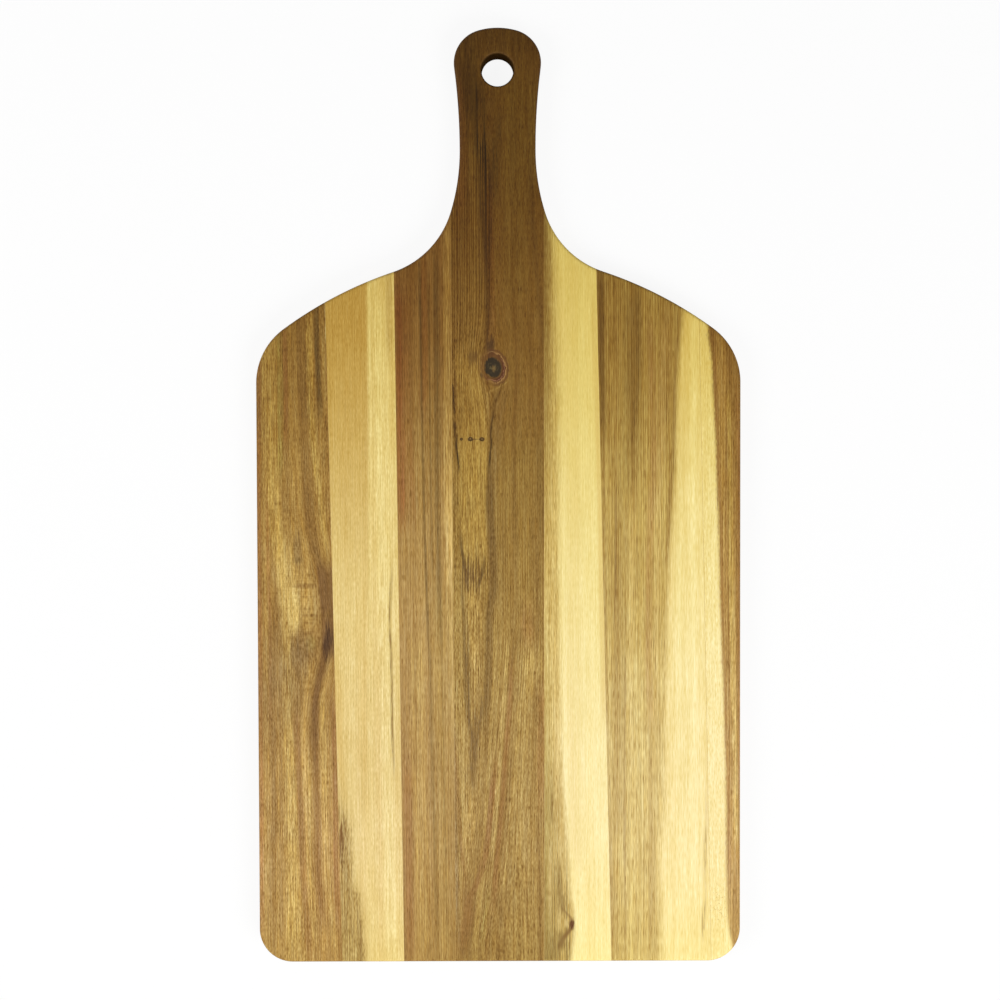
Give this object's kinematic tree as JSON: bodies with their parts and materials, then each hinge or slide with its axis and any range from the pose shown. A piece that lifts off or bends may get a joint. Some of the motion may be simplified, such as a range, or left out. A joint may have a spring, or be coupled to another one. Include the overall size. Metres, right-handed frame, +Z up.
{
  "type": "paddle serving board",
  "caption": "Paddle-shaped wooden serving board, edge-glued from light and dark staves, with rounded shoulders, a long handle and a round hanging hole.",
  "frame": {"origin": "on the surface the board lies on, under the middle of its length and width", "axes": "+Y from the base edge to the end of the handle, +Z up through the thickness, +X to the right seen from above with the handle away from the viewer"},
  "size_m": [0.29, 0.56, 0.016],
  "materials": {
    "golden_heartwood": "oiled, brown heartwood with golden streaks",
    "cream_sapwood": "oiled, cream sapwood",
    "reddish_heartwood": "oiled, reddish brown striped heartwood",
    "dark_heartwood": "oiled, dark brown heartwood with knots",
    "pale_sapwood": "oiled, pale yellow sapwood",
    "streaked_heartwood": "oiled, streaked grey-brown heartwood that turns to sapwood",
    "speckled_sapwood": "oiled, speckled sapwood with a reddish edge",
    "wood_glue": "dried amber wood glue"
  },
  "bodies": {
    "root": {"outer_left_stave": "golden_heartwood", "left_sapwood_stave": "cream_sapwood", "inner_left_stave": "reddish_heartwood", "handle_stave": "dark_heartwood", "inner_right_stave": "pale_sapwood", "wide_right_stave": "streaked_heartwood", "outer_right_stave": "speckled_sapwood", "glue_line_1": "wood_glue", "glue_line_2": "wood_glue", "glue_line_3": "wood_glue", "glue_line_4": "wood_glue", "glue_line_5": "wood_glue", "glue_line_6": "wood_glue"}
  },
  "joints": []
}
